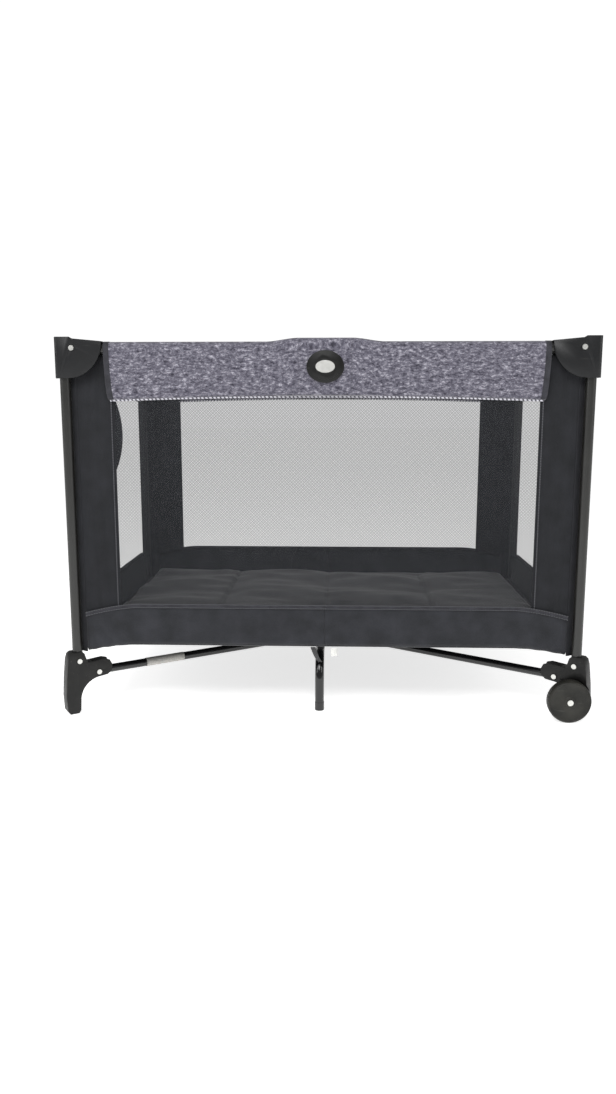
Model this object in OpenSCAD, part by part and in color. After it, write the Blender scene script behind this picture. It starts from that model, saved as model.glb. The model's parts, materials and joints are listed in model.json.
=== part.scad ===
// Travel play yard: a folding cot with four corner posts, eight hinged half
// rails, a rising centre hub and fabric walls. Millimetres, +Z up. The origin
// is on the floor under the centre of the hub, with the front along -Y.

/* [Overall size] */
// Distance between the left and right posts, centre to centre
post_span_x = 960; // [900:10:1000]
// Distance between the front and back posts, centre to centre
post_span_y = 680; // [660:10:720]
// Height of the top rails' pivots above the floor
rail_z = 696; // [680:2:720]

/* [Posts and rails] */
// Outer diameter of the corner posts
post_d = 19; // [18:0.5:20]
// Outer diameter of the top rails
rail_d = 19; // [18:0.5:19]
// Wall of every steel tube
tube_wall = 1.2; // [1:0.1:1.6]
// Lower end of the posts, inside the feet
post_bottom = 86; // [84:1:90]
// Distance from a post's axis to its rails' pivots
rail_in = 18; // [18:0.5:20]
// Distance from the middle of a rail to each pivot of its latch
latch_in = 30; // [30:1:34]

/* [Corner caps] */
// Distance from the post's axis to the cap's outer faces
cap_off = 15; // [14.5:0.5:22]
// Length of each wing of the cap
cap_w = 88; // [70:1:89]
// Height of the cap at the post
cap_h = 74; // [70:1:76]
// Turn of the left caps' side wings, which stand away from the rail
wing_splay = 14; // [0:1:15]

/* [Base] */
// Outer diameter of the base tubes
arm_d = 16; // [15:0.5:16]
// Height of the base tubes above the floor
arm_z = 77; // [75:1:80]
// Distance from a post's axis to its base tube's pivot
foot_in = 38; // [36:1:40]
// Thickness of the feet
foot_t = 24; // [24:0.5:26]
// Radius of the centre hub
hub_r = 66; // [66:1:70]
// Outer diameter of the centre legs
leg_d = 17.5; // [17:0.5:17.5]
// Distance from the hub's centre to the foot of each centre leg
leg_reach = 314; // [300:2:330]

/* [Wheels] */
// Diameter of the wheels
wheel_d = 82; // [78:1:84]
// Width of the wheels
wheel_w = 22; // [18:1:24]

/* [Latches] */
// Width of the oval bezel
bezel_w = 68; // [60:1:72]
// Height of the oval bezel
bezel_h = 58; // [52:1:60]
// Width of the push button
button_w = 35; // [30:1:38]
// Height of the push button
button_h = 22.5; // [18:0.5:26]

/* [Fabric] */
// Bottom edge of the walls
wall_bottom = 134.3; // [134.3:0.1:136]
// Bottom hem of the padded rail cover
hem_z = 602; // [590:1:610]
// Distance from a post's axis to the end of its rail covers
sleeve_end = 76; // [74:1:80]
// Underside of the mattress pad
pad_z = 141; // [140:1:146]
// Thickness of the mattress pad
pad_t = 22; // [18:1:26]

/* [Hidden] */
$fn = 48;

// Clearances: a tube's side against a cheek, and a pin in its hole
side_gap = 0.8;
pin_gap = 0.06;
eps = 0.3;

// Rails: the halves' pivot-to-pivot lengths, and how far a tube runs past a pivot
rail_half_x = post_span_x / 2 - rail_in - latch_in;
rail_half_y = post_span_y / 2 - rail_in - latch_in;
rail_tail = 7;
pin_r = 3.2;
head_r = 4.8;
head_t = 1.6;
slot_half = rail_d / 2 + side_gap;
rail_sweep = norm([rail_tail, rail_d / 2]);
post_top = rail_z - rail_sweep - 3;

// Base: a tube's plan length and direction equal those of the rails above it,
// so that every pivot of the fold turns by the same angle
diag = atan2(rail_half_y, rail_half_x);
arm_len = norm([rail_half_x, rail_half_y]);
arm_tail = 10;
arm_sweep = norm([arm_tail, arm_d / 2]) + eps;
arm_slot = arm_d + 0.6;
hub_x = post_span_x / 2 - foot_in * cos(diag) - rail_half_x;
hub_y = post_span_y / 2 - foot_in * sin(diag) - rail_half_y;
hub_bottom = 63;
hub_top = 124;
hub_wall = 4;
hub_plate = 8;
cheek_t = 4;

// Centre legs: each is set to one side, so that their feet pass as they fold
leg_side = 10;
leg_pivot_y = 54;
leg_z = 102;
leg_tail = 9;
leg_bend = 45;
leg_slot = leg_d + 0.6;
leg_sweep = norm([leg_tail, leg_d / 2]) + eps;
leg_cap_r = 9.3;
leg_cap_h = 16;

// Corner caps
cap_top = rail_z + 20;
cap_round = 8;
cap_cheek = 4;
cap_web = 1; // half the web that ties the inner cheeks to the core
cap_shoulder = 8;
wing_t = 3.5;
wing_drop = 10;

// Feet: the outline lies in the upright plane through the post and its base tube
foot_rivet_z = 104;
foot_bend_r = 43;
FOOT_OUTLINE = concat(
    [[-22, 0], [-26.5, 7], [-28, 36], [-26, 70], [-22, 108], [-19, 118], [-14, 122],
     [6, 122], [10, 118], [13, 108], [17, 98.5], [50, 101], [60, 98], [65, 88],
     [63, 76], [55, 69.5]],
    [for (t = [90:9:180]) [foot_bend_r * (1 + cos(t)), 25 + foot_bend_r * sin(t)]],
    [[-1, 6], [-5, 0]]
);

// Wheels, measured from the post's axis: inwards along X, outwards along Y
wheel_in = 17;
wheel_gap = 14;
wheel_z = wheel_d / 2;
axle_r = 4;
axle_head_r = 5.6;
wheel_clear = 3;

// Latches
latch_half = 46;
latch_cheek = 4.5;
latch_top = rail_z + 15;
latch_bottom = rail_z - 62;
latch_block = 16;
button_z = rail_z - 34;
bezel_t = 7;
bezel_step = 4;
button_travel = 5;
button_gap = 0.4;

// Fabric
sleeve_half_t = 12.5;
sleeve_wall = 1.2;
sleeve_top = rail_z + 12;
wall_t = 3;
wall_in = 0.5;
wall_end = 14;
wall_top = 600;
wall_corner_top = rail_z - 12;
wall_corner_w = 62;
seam_gap = 0.3;
floor_z = 135;
floor_t = 3;
pad_round = 20;

steel_black = "#26262a";
plastic_black = "#2a2a2c";
rivet_grey = "#c9c9c6";
heather = "#74717f";
cloth_black = "#36373c";
pad_grey = "#5a5a5c";

// Frames of reference ---------------------------------------------------------

// A corner's own frame: its post's axis is the origin, +X and +Y point inwards
module at_corner(sx, sy) {
    translate([sx * post_span_x / 2, sy * post_span_y / 2, 0])
        mirror([sx > 0 ? 1 : 0, 0, 0])
            mirror([0, sy > 0 ? 1 : 0, 0])
                children();
}

// A side's own frame: the rail's middle is at the origin, it runs along X, and
// -Y points outwards. Sides count from the front anticlockwise, seen from above
function side_span(side) = side % 2 == 0 ? post_span_x : post_span_y;
function side_out(side) = (side % 2 == 0 ? post_span_y : post_span_x) / 2;
module at_side(side) {
    rotate([0, 0, 90 * side])
        translate([0, -side_out(side), 0])
            children();
}

// The upright plane through a post and its base tube, as X and Y
module in_foot_plane(t) {
    rotate([0, 0, diag])
        rotate([90, 0, 0])
            linear_extrude(t, center = true)
                children();
}

// Small shapes ----------------------------------------------------------------

module tube(d, h) {
    difference() {
        cylinder(d = d, h = h);
        translate([0, 0, -1])
            cylinder(d = d - 2 * tube_wall, h = h + 2);
    }
}

// A cylinder along Y, centred on the origin
module bar_y(r, len) {
    rotate([90, 0, 0])
        cylinder(r = r, h = len, center = true);
}

// A headed pin along Y, from y0 to y1, with a head past the ends that have one
module rivet(y0, y1, r = pin_r, head = head_r, heads = [1, 1]) {
    translate([0, (y0 + y1) / 2, 0])
        bar_y(r, y1 - y0);
    if (heads[0] == 1)
        translate([0, y0 - head_t / 2, 0]) bar_y(head, head_t);
    if (heads[1] == 1)
        translate([0, y1 + head_t / 2, 0]) bar_y(head, head_t);
}

function oval(w, h, n = 36) = [for (i = [0:n - 1]) [w / 2 * cos(i * 360 / n), h / 2 * sin(i * 360 / n)]];

// An oval plate that stands upright, with its outer face at y
module oval_plate(w, h, y, t) {
    translate([0, y + t, 0])
        rotate([90, 0, 0])
            linear_extrude(t)
                polygon(oval(w, h));
}

// Posts, caps and feet ---------------------------------------------------------

module post(sx, sy) {
    color(steel_black)
    at_corner(sx, sy)
    difference() {
        translate([0, 0, post_bottom])
            tube(post_d, post_top - post_bottom);
        translate([0, 0, foot_rivet_z])
            rotate([0, 0, diag])
                bar_y(pin_r + pin_gap, foot_t * 2);
    }
}

// A wing's outline seen from its side: flat on top and under the post, swept up to its tip
module wing_outline(top) {
    sweep = cap_w - cap_off - slot_half;
    polygon(concat(
        [[-cap_off, cap_top - cap_h], [-cap_off, top]],
        [for (t = [0:9:90])
            [slot_half + sweep * cos(t), cap_top - cap_shoulder - (cap_h - cap_shoulder) * sin(t)]]
    ));
}

// A wing along X, from outer face y0 to y1
module wing(y0, y1, top) {
    translate([0, y1, 0])
        rotate([90, 0, 0])
            linear_extrude(y1 - y0)
                wing_outline(top);
}

module swap_xy() {
    mirror([1, -1, 0]) children();
}

module cap_slot() {
    translate([rail_in - rail_sweep - eps, -slot_half, post_top + 2])
        cube([2 * (rail_sweep + eps), 2 * slot_half, rail_z + rail_sweep + eps - post_top - 2]);
    translate([slot_half, -slot_half, 0])
        cube([cap_w * 2, 2 * slot_half, rail_z + slot_half]);
}

module cap_plan() {
    difference() {
        translate([-cap_off, -cap_off])
            square([cap_w * 2, cap_w * 2]);
        translate([-cap_off - 1, -cap_off - 1])
            difference() {
                square(cap_round + 1);
                translate([cap_round + 1, cap_round + 1])
                    circle(cap_round);
            }
    }
}

module corner_cap(sx, sy, splay) {
    inner = slot_half + cap_cheek;
    color(plastic_black)
    at_corner(sx, sy) {
        difference() {
            intersection() {
                union() {
                    wing(-cap_off, inner, cap_top);
                    if (splay > 0)
                        swap_xy() wing(-slot_half - cap_cheek, inner, cap_top);
                    else
                        swap_xy() wing(-cap_off, inner, cap_top);
                    translate([-cap_off, -cap_off, cap_top - cap_h])
                        cube([cap_off + slot_half, cap_off + slot_half, cap_h]);
                }
                translate([0, 0, cap_top - cap_h])
                    linear_extrude(cap_h)
                        cap_plan();
            }
            translate([0, 0, cap_top - cap_h - 1])
                cylinder(r = post_d / 2 + pin_gap, h = post_top + 1 - cap_top + cap_h);
            cap_slot();
            swap_xy() cap_slot();
            translate([rail_in, 0, rail_z]) bar_y(pin_r + pin_gap, cap_off * 4);
            swap_xy() translate([rail_in, 0, rail_z]) bar_y(pin_r + pin_gap, cap_off * 4);
        }
        translate([slot_half - cap_web, slot_half - cap_web, cap_top - cap_h])
            cube([2 * cap_web, 2 * cap_web, post_top + 3 - cap_top + cap_h]);
        if (splay > 0)
            splayed_wing(splay);
    }
}

// The left caps' side wing is a thin shield that stands away from the rail
module splayed_wing(splay) {
    translate([-cap_off, -cap_off + cap_round, 0])
        rotate([0, 0, splay])
            translate([cap_off, cap_off - cap_round, 0])
                swap_xy()
                    difference() {
                        wing(-cap_off, -cap_off + wing_t, cap_top - wing_drop);
                        translate([-cap_off * 2, -cap_off * 2, 0])
                            cube([cap_off + cap_round, cap_off * 3, cap_top]);
                    }
}

module plain_foot(sx, sy) {
    color(plastic_black)
    at_corner(sx, sy)
        foot_shell();
}

module foot_shell() {
    difference() {
        in_foot_plane(foot_t)
            polygon(FOOT_OUTLINE);
        foot_bores();
    }
}

module foot_bores() {
    translate([0, 0, post_bottom])
        cylinder(r = post_d / 2 + pin_gap, h = post_bottom);
    rotate([0, 0, diag]) {
        translate([foot_in - arm_sweep, -arm_slot / 2, arm_z / 2])
            cube([foot_in * 2, arm_slot, arm_z * 2]);
        translate([0, 0, foot_rivet_z])
            bar_y(pin_r + pin_gap, foot_t * 2);
        translate([foot_in, 0, arm_z])
            bar_y(pin_r + pin_gap, foot_t * 2);
    }
}

// The right feet end above the floor and carry an axle boss in place of a sole
module wheel_foot(sx, sy) {
    boss_r = 11;
    boss_back = 4;
    boss_len = boss_back + wheel_gap - 0.6;
    color(plastic_black)
    at_corner(sx, sy)
    difference() {
        union() {
            foot_shell();
            translate([wheel_in, boss_back - boss_len / 2, wheel_z])
                bar_y(boss_r, boss_len);
            translate([2, boss_back - boss_len, wheel_z])
                cube([wheel_in + boss_r - 2, boss_len, 34]);
        }
        translate([-cap_w, -cap_w, -1])
            cube([cap_w * 2, cap_w * 2, wheel_z / 2 + 1]);
        translate([wheel_in, -wheel_gap - cap_w / 2 + 0.6, wheel_z])
            bar_y(wheel_d / 2 + wheel_clear, cap_w);
        translate([wheel_in, 0, wheel_z])
            bar_y(axle_r + pin_gap, cap_w * 2);
        foot_bores();
    }
}

module rivets(sx, sy) {
    inner = slot_half + cap_cheek;
    color(rivet_grey)
    at_corner(sx, sy) {
        translate([rail_in, 0, rail_z])
            rivet(-cap_off, inner, heads = [1, 0]);
        swap_xy() translate([rail_in, 0, rail_z])
            rivet(sx < 0 ? -inner : -cap_off, inner, heads = [sx < 0 ? 0 : 1, 0]);
        rotate([0, 0, diag]) {
            translate([0, 0, foot_rivet_z])
                rivet(-foot_t / 2, foot_t / 2);
            translate([foot_in, 0, arm_z])
                rivet(-foot_t / 2, foot_t / 2);
        }
        if (sx > 0)
            translate([wheel_in, 0, wheel_z])
                rivet(-wheel_gap - wheel_w, 4, r = axle_r, head = axle_head_r, heads = [1, 0]);
    }
}

module wheel(sy) {
    face_r = wheel_d / 2 - 3.5;
    color(plastic_black)
    at_corner(1, sy)
    translate([wheel_in, -wheel_gap, wheel_z])
    rotate([90, 0, 0])
    rotate_extrude($fn = 96)
        polygon([
            [axle_r + pin_gap, 0], [face_r, 0], [wheel_d / 2 - 1.5, 1.5], [wheel_d / 2, 5],
            [wheel_d / 2, wheel_w - 5], [wheel_d / 2 - 1.5, wheel_w - 1.5], [face_r, wheel_w],
            [face_r - 1.5, wheel_w - 2], [12, wheel_w - 2], [10, wheel_w], [axle_r + pin_gap, wheel_w]
        ]);
}

// Top rails, their covers and latches -------------------------------------------

// Half a rail, on the side's left (end = -1) or right (end = 1)
module half_rail(side, end) {
    outer = side_span(side) / 2 - rail_in;
    color(steel_black)
    at_side(side)
    translate([0, 0, rail_z])
    difference() {
        translate([end * (latch_in - rail_tail), 0, 0])
            rotate([0, end * 90, 0])
                tube(rail_d, outer - latch_in + 2 * rail_tail);
        for (x = [latch_in, outer])
            translate([end * x, 0, 0]) bar_y(pin_r + pin_gap, rail_d * 2);
    }
}

// The padded cover that hangs over half a rail, open at both ends
module sleeve(side, end) {
    from = latch_half + 1.5;
    len = side_span(side) / 2 - sleeve_end - from;
    color(heather)
    at_side(side)
    mirror([end < 0 ? 1 : 0, 0, 0])
    difference() {
        translate([from, -sleeve_half_t, hem_z])
            cube([len, 2 * sleeve_half_t, sleeve_top - hem_z]);
        translate([from - 1, -sleeve_half_t + sleeve_wall, hem_z + sleeve_wall])
            cube([len + 2, 2 * (sleeve_half_t - sleeve_wall), sleeve_top - hem_z - 2 * sleeve_wall]);
    }
}

// The latch case is open at its ends, above and below, because it stays upright
// between the two half rails while the fold draws it down
module latch(side) {
    half_t = slot_half + latch_cheek;
    color(plastic_black)
    at_side(side) {
        difference() {
            union() {
                translate([-latch_half, -half_t, rail_z - rail_d / 2 - 4])
                    cube([2 * latch_half, 2 * half_t, latch_top - rail_z + rail_d / 2 + 4]);
                translate([0, 0, button_z])
                    oval_plate(bezel_w, bezel_h, -half_t, 2 * half_t);
                translate([0, 0, button_z])
                    oval_plate(bezel_w, bezel_h, -half_t - bezel_step, bezel_step);
                translate([0, 0, button_z])
                    oval_plate(bezel_w - 12, bezel_h - 12, -half_t - bezel_t, bezel_t);
            }
            for (end = [-1, 1])
                translate([end > 0 ? latch_block : -latch_block - latch_half, -slot_half, latch_bottom])
                    cube([latch_half, 2 * slot_half, latch_top + 1 - latch_bottom]);
            translate([0, 0, button_z])
                oval_plate(button_w + 2 * button_gap, button_h + 2 * button_gap,
                    -half_t - bezel_t - 1, half_t + bezel_t + 1);
            for (end = [-1, 1])
                translate([end * latch_in, 0, rail_z]) bar_y(pin_r + pin_gap, cap_w);
        }
        for (end = [-1, 1])
            translate([end * latch_in, 0, rail_z])
                rivet(-half_t, half_t, heads = [1, 1], head = head_r);
    }
}

module button(side) {
    half_t = slot_half + latch_cheek;
    color("#c4c4c6")
    at_side(side)
    translate([0, 0, button_z])
        oval_plate(button_w, button_h, -half_t - bezel_t - 1.5, half_t + bezel_t + 1.5 - button_travel - 1);
}

// Base ---------------------------------------------------------------------------

module base_tube(sx, sy) {
    color(steel_black)
    at_corner(sx, sy)
    rotate([0, 0, diag])
    translate([foot_in, 0, arm_z])
    difference() {
        translate([-arm_tail, 0, 0])
            rotate([0, 90, 0])
                tube(arm_d, arm_len + 2 * arm_tail);
        for (x = [0, arm_len])
            translate([x, 0, 0]) bar_y(pin_r + pin_gap, arm_d * 2);
    }
}

// Runs its children at the hub's four tube pivots, with +X pointing outwards
module at_hub_pivots() {
    for (sx = [-1, 1], sy = [-1, 1])
        mirror([sx < 0 ? 1 : 0, 0, 0])
            mirror([0, sy < 0 ? 1 : 0, 0])
                translate([hub_x, hub_y, 0])
                    rotate([0, 0, diag])
                        children();
}

// Runs its children at the two centre legs' pivots, with -Y pointing outwards
module at_leg_pivots() {
    for (turn = [0, 180])
        rotate([0, 0, turn])
            translate([-leg_side, -leg_pivot_y, 0])
                children();
}

module hub_body() {
    cheek_z = hub_top - hub_plate - hub_bottom + 1;
    color(plastic_black)
    difference() {
        union() {
            difference() {
                translate([0, 0, hub_bottom])
                    cylinder(r = hub_r, h = hub_top - hub_bottom, $fn = 96);
                translate([0, 0, hub_bottom - 1])
                    cylinder(r = hub_r - hub_wall, h = cheek_z, $fn = 96);
            }
            intersection() {
                at_hub_pivots()
                    translate([-8, -arm_slot / 2 - cheek_t, hub_bottom + 1])
                        cube([hub_r, arm_slot + 2 * cheek_t, cheek_z - 1]);
                cylinder(r = hub_r - hub_wall / 2, h = hub_top, $fn = 96);
            }
            at_leg_pivots()
                translate([-leg_slot / 2 - cheek_t, -8, hub_bottom + 14])
                    cube([leg_slot + 2 * cheek_t, 15, cheek_z - 14]);
        }
        at_hub_pivots() {
            translate([-arm_sweep, -arm_slot / 2, 0])
                cube([hub_r * 2, arm_slot, arm_z + arm_sweep]);
            translate([0, 0, arm_z])
                bar_y(pin_r + pin_gap, arm_slot + 2 * cheek_t + 1);
        }
        at_leg_pivots() {
            translate([-leg_slot / 2, -hub_r * 2, 0])
                cube([leg_slot, hub_r * 2 + leg_sweep, leg_z + leg_sweep]);
            translate([0, 0, leg_z])
                rotate([0, 0, 90])
                    bar_y(pin_r + pin_gap, leg_slot + 2 * cheek_t + 1);
        }
    }
}

module hub_pins() {
    color(rivet_grey) {
        at_hub_pivots()
            translate([0, 0, arm_z])
                bar_y(pin_r, arm_slot + 2 * cheek_t);
        at_leg_pivots()
            translate([0, 0, leg_z])
                rotate([0, 0, 90])
                    bar_y(pin_r, leg_slot + 2 * cheek_t);
    }
}

// The webbing loop that pulls the hub up to fold the yard
module hub_strap() {
    strap_w = 25;
    strap_t = 2;
    loop_r = 5;
    color(cloth_black)
    translate([0, 0, hub_top + loop_r])
        rotate([90, 0, 0])
            linear_extrude(strap_w, center = true)
                difference() {
                    circle(loop_r);
                    circle(loop_r - strap_t);
                }
}

// A tube that runs out from the hub and bends down to the floor, in its foot cap
module centre_leg(turn) {
    straight = leg_reach - leg_pivot_y - leg_bend;
    sole = 3;
    color(steel_black)
    rotate([0, 0, turn])
    translate([-leg_side, -leg_pivot_y, leg_z]) {
        difference() {
            translate([0, leg_tail, 0])
                rotate([90, 0, 0])
                    tube(leg_d, leg_tail + straight);
            rotate([0, 0, 90])
                bar_y(pin_r + pin_gap, leg_d * 2);
        }
        translate([0, -straight, -leg_bend])
            rotate([90, 0, -90])
                rotate_extrude(angle = 90)
                    translate([leg_bend, 0])
                        difference() {
                            circle(d = leg_d);
                            circle(d = leg_d - 2 * tube_wall);
                        }
        translate([0, -straight - leg_bend, sole - leg_z])
            tube(leg_d, leg_z - leg_bend - sole);
        translate([0, -straight - leg_bend, -leg_z])
            difference() {
                cylinder(r = leg_cap_r, h = leg_cap_h);
                translate([0, 0, sole])
                    cylinder(r = leg_d / 2 + pin_gap, h = leg_cap_h);
            }
    }
}

// Fabric ---------------------------------------------------------------------------

// Half of one wall, from a post to the seam in the middle, along X
module half_wall(half_len) {
    translate([0, wall_in + wall_t, 0])
        rotate([90, 0, 0])
            linear_extrude(wall_t)
                polygon([
                    [wall_end, wall_bottom], [half_len, wall_bottom], [half_len, wall_top],
                    [wall_corner_w + wall_end, wall_top], [wall_corner_w, wall_corner_top],
                    [wall_end, wall_corner_top]
                ]);
}

module corner_wall(sx, sy) {
    color(cloth_black)
    at_corner(sx, sy) {
        half_wall(post_span_x / 2 - seam_gap);
        swap_xy() half_wall(post_span_y / 2 - seam_gap);
    }
}

module floor_quarter(sx, sy) {
    inset = 17;
    color(cloth_black)
    at_corner(sx, sy)
    translate([inset, inset, floor_z])
        cube([post_span_x / 2 - inset - seam_gap, post_span_y / 2 - inset - seam_gap, floor_t]);
}

module mattress_pad() {
    pad_x = post_span_x - 32;
    pad_y = post_span_y - 28;
    color(pad_grey)
    translate([0, 0, pad_z])
        linear_extrude(pad_t)
            union() {
                square([pad_x - 2 * pad_round, pad_y], center = true);
                square([pad_x, pad_y - 2 * pad_round], center = true);
                for (x = [-1, 1], y = [-1, 1])
                    translate([x * (pad_x / 2 - pad_round), y * (pad_y / 2 - pad_round)])
                        circle(pad_round);
            }
}

post(-1, -1);  // post_front_left
post(1, -1);  // post_front_right
post(-1, 1);  // post_back_left
post(1, 1);  // post_back_right
corner_cap(-1, -1, wing_splay);  // cap_front_left
corner_cap(1, -1, 0);  // cap_front_right
corner_cap(-1, 1, wing_splay);  // cap_back_left
corner_cap(1, 1, 0);  // cap_back_right
plain_foot(-1, -1);  // foot_front_left
plain_foot(-1, 1);  // foot_back_left
wheel_foot(1, -1);  // wheel_foot_front_right
wheel_foot(1, 1);  // wheel_foot_back_right
rivets(-1, -1);  // rivets_front_left
rivets(1, -1);  // rivets_front_right
rivets(-1, 1);  // rivets_back_left
rivets(1, 1);  // rivets_back_right
half_rail(0, -1);  // rail_front_left
half_rail(0, 1);  // rail_front_right
half_rail(2, 1);  // rail_back_left
half_rail(2, -1);  // rail_back_right
half_rail(3, 1);  // rail_left_front
half_rail(3, -1);  // rail_left_back
half_rail(1, -1);  // rail_right_front
half_rail(1, 1);  // rail_right_back
sleeve(0, -1);  // sleeve_front_left
sleeve(0, 1);  // sleeve_front_right
sleeve(2, 1);  // sleeve_back_left
sleeve(2, -1);  // sleeve_back_right
sleeve(3, 1);  // sleeve_left_front
sleeve(3, -1);  // sleeve_left_back
sleeve(1, -1);  // sleeve_right_front
sleeve(1, 1);  // sleeve_right_back
latch(0);  // latch_front
latch(2);  // latch_back
latch(3);  // latch_left
latch(1);  // latch_right
button(0);  // button_front
button(2);  // button_back
button(3);  // button_left
button(1);  // button_right
base_tube(-1, -1);  // base_tube_front_left
base_tube(1, -1);  // base_tube_front_right
base_tube(-1, 1);  // base_tube_back_left
base_tube(1, 1);  // base_tube_back_right
hub_body();
hub_pins();
hub_strap();
centre_leg(0);  // centre_leg_front
centre_leg(180);  // centre_leg_back
wheel(-1);  // wheel_front
wheel(1);  // wheel_back
corner_wall(-1, -1);  // wall_front_left
corner_wall(1, -1);  // wall_front_right
corner_wall(-1, 1);  // wall_back_left
corner_wall(1, 1);  // wall_back_right
floor_quarter(-1, -1);  // floor_front_left
floor_quarter(1, -1);  // floor_front_right
floor_quarter(-1, 1);  // floor_back_left
floor_quarter(1, 1);  // floor_back_right
mattress_pad();
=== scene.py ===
# %% [markdown]
# # A travel play yard, dressed
#
# The frame of this play yard is already drawn and packed: steel posts and rails, moulded corners,
# a folding base and wheels. This file gives it its looks. The hard pieces get rounded edges and
# real finishes, and the soft ones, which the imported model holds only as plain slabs, are sewn here:
# heather rail covers, net windows, black walls, a floor and a quilted pad.
#
# Everything is in metres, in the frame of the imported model: +Z is up, the front is along -Y, and the
# origin is on the floor under the hub.

# %% Load the frame
import json
import math
import bpy
import numpy as np
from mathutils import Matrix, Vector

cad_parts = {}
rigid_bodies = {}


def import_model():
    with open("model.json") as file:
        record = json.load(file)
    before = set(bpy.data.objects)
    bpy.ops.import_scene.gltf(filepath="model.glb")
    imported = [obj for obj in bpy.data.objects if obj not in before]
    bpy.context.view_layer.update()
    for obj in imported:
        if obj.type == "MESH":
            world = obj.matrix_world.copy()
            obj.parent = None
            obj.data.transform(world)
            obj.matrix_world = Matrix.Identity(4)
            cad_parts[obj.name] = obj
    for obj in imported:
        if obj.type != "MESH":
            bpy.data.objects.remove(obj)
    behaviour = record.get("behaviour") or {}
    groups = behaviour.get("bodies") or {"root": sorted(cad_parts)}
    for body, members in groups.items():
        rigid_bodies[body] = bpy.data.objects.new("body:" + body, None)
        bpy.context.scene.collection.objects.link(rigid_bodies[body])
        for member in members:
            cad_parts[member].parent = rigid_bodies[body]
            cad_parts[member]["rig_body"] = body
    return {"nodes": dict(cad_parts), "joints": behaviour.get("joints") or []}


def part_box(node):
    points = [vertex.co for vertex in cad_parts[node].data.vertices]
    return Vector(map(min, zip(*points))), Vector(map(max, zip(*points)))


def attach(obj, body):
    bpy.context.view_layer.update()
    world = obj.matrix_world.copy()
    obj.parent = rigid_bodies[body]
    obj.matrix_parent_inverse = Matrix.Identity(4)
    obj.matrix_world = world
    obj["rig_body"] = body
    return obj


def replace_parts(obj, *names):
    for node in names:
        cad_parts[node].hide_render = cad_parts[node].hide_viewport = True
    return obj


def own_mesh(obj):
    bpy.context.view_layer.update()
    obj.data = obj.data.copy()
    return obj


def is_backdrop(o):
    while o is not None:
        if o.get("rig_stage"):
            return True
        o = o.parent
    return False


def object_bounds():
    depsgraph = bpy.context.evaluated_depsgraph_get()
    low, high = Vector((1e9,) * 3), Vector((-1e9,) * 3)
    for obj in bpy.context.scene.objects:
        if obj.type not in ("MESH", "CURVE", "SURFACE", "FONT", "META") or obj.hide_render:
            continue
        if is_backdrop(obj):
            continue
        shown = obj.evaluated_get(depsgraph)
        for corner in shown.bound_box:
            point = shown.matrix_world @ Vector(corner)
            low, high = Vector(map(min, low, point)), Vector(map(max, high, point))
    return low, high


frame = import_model()
cad_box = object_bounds()
nodes = frame["nodes"]
bpy.ops.object.select_all(action="DESELECT")

# %% [markdown]
# ## Where things are
#
# The few places that all the sewing depends on are read from the frame: the posts' axes, the rails'
# height, the planes in which the walls hang, and the ends of the rail covers. Whatever is sewn takes its
# place from these, so that it fits the frame even if the frame is drawn again at another size.

# %% Places taken from the frame
def middle(node):
    low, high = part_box(node)
    return (low + high) / 2


MM = 0.001
POST_X = -middle("post_front_left").x
POST_Y = -middle("post_front_left").y
RAIL_Z = middle("rail_front_left").z
WALL_X = POST_X - 2 * MM
WALL_Y = POST_Y - 2 * MM
WALL_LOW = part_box("wall_front_left")[0].z
FLOOR_Z = middle("floor_front_left").z
PAD_LOW, PAD_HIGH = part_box("mattress_pad")
COVER_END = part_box("sleeve_front_right")[1].x
COVER_END_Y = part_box("sleeve_left_back")[1].y
LATCH_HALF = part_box("sleeve_front_right")[0].x
HEM_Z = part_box("sleeve_front_left")[0].z
print("posts at", round(POST_X, 4), round(POST_Y, 4), "rails at", round(RAIL_Z, 4))

# %% [markdown]
# ## The camera
#
# A person who stands a little back from the play yard and holds a camera at chest height sees the front
# nearly square on, the inside of the far wall through the net, and the top edges from just below.
# A fairly wide lens, close to the object, gives the strong narrowing of the back that such a view has.

# %% Camera
camera_data = bpy.data.cameras.new("camera")
camera_data.lens = 28.33
camera_data.sensor_width = 36
camera = bpy.data.objects.new("camera", camera_data)
camera.location = (0.0253, -1.9406, 0.5954)
camera.rotation_euler = (math.radians(90 - 9.43), 0, math.radians(2.04))
bpy.context.scene.collection.objects.link(camera)
bpy.context.scene.camera = camera

# %% [markdown]
# ## Light and floor
#
# Black plastic and black cloth show their shape only by what they reflect. In a white room they reflect
# white and turn grey, so the room that lights the object is dim, and white only where the camera looks
# past the object. One large soft lamp stands above and in front, and two narrow ones at the sides put a
# thin bright line on every rounded edge. The floor is a plain pale sheet that glows a little, as a lit
# table does, so the undersides of tubes and rims are lit too.

# %% Light and floor
def linear(hex_colour):
    """The linear colour of an sRGB hex value, as the shaders want it."""
    parts = [int(hex_colour[i:i + 2], 16) / 255 for i in (1, 3, 5)]
    return [p / 12.92 if p <= 0.04045 else ((p + 0.055) / 1.055) ** 2.4 for p in parts] + [1.0]


def soft_lamp(name, place, aim, width, height, watts):
    """A rectangular lamp at a place, turned to shine at aim."""
    data = bpy.data.lights.new(name, "AREA")
    data.shape = "RECTANGLE"
    data.size = width
    data.size_y = height
    data.energy = watts
    lamp = bpy.data.objects.new(name, data)
    lamp.location = place
    direction = [a - p for a, p in zip(aim, place)]
    tilt = math.atan2(math.hypot(direction[0], direction[1]), -direction[2])
    heading = math.atan2(direction[1], direction[0]) - math.pi / 2
    lamp.rotation_euler = (tilt, 0, heading)
    bpy.context.scene.collection.objects.link(lamp)


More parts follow.
